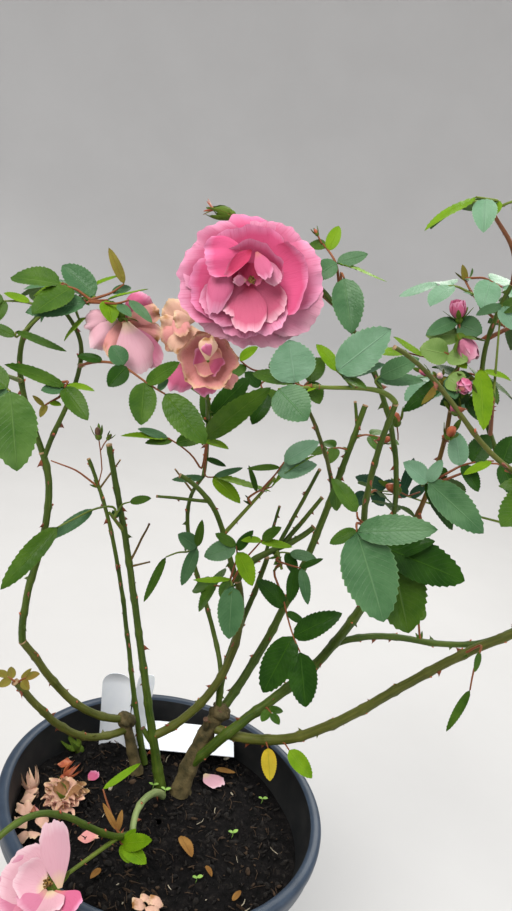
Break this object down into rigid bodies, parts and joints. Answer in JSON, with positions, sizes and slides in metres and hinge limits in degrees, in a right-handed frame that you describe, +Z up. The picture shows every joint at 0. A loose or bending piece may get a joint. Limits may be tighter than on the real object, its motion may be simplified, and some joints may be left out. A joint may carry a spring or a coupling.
{
  "type": "potted rose bush",
  "caption": "Sparse rose bush with long arching pruned canes, compound leaves and double flowers, growing in a round nursery pot.",
  "frame": {"origin": "centre of the pot's flat underside", "axes": "+Z up, +X to the right of the viewer of the picture, +Y away from the viewer"},
  "size_m": [0.4734, 0.3443, 0.7509],
  "materials": {
    "pot": "satin",
    "compost": "matte",
    "bark": "rough",
    "cane": "satin",
    "leaf": "satin",
    "petal": "matte",
    "faded": "matte",
    "withered": "matte",
    "label": "smooth"
  },
  "bodies": {
    "root": {"pot": "pot", "compost": "compost", "trunk": "bark", "left_stump": "bark", "pruned_tall": "cane", "pruned_thin": "cane", "front_low": "cane", "left_low_cane": "cane", "low_left_cane": "cane", "left_high_cane": "cane", "left_outer": "cane", "left_inner": "cane", "mid_cane": "cane", "fork_right": "cane", "fork_left": "cane", "thin_cane": "cane", "bloom_cane": "cane", "second_cane": "cane", "front_cane": "cane", "upper_cane": "cane", "flower_cane": "cane", "tall_cane": "cane", "side_cane": "cane", "right_long": "cane", "right_low": "cane", "right_mid": "cane", "right_upper": "cane", "near_upper": "cane", "near_cane": "cane", "front_left": "cane", "left_outer_spray": "leaf", "left_edge_spray": "leaf", "left_low_spray": "leaf", "left_reach_leaf": "leaf", "left_inner_spray": "leaf", "faded_bloom_left": "faded", "faded_bloom_right": "faded", "main_bloom": "petal", "top_bud": "leaf", "flower_leaf": "leaf", "arch_spray": "leaf", "side_spray": "leaf", "thin_spray": "leaf", "mid_spray": "leaf", "left_long_leaf": "leaf", "thin_leaf": "leaf", "centre_spray": "leaf", "hanging_leaf": "leaf", "big_leaf_spray": "leaf", "right_mid_spray": "leaf", "right_top_spray": "leaf", "right_upper_spray": "leaf", "right_back_spray": "leaf", "right_crown_spray": "leaf", "top_right_spray": "leaf", "near_spray": "leaf", "low_bloom": "petal", "label": "label", "fallen_petal": "petal", "withered_bloom": "withered"}
  },
  "joints": []
}
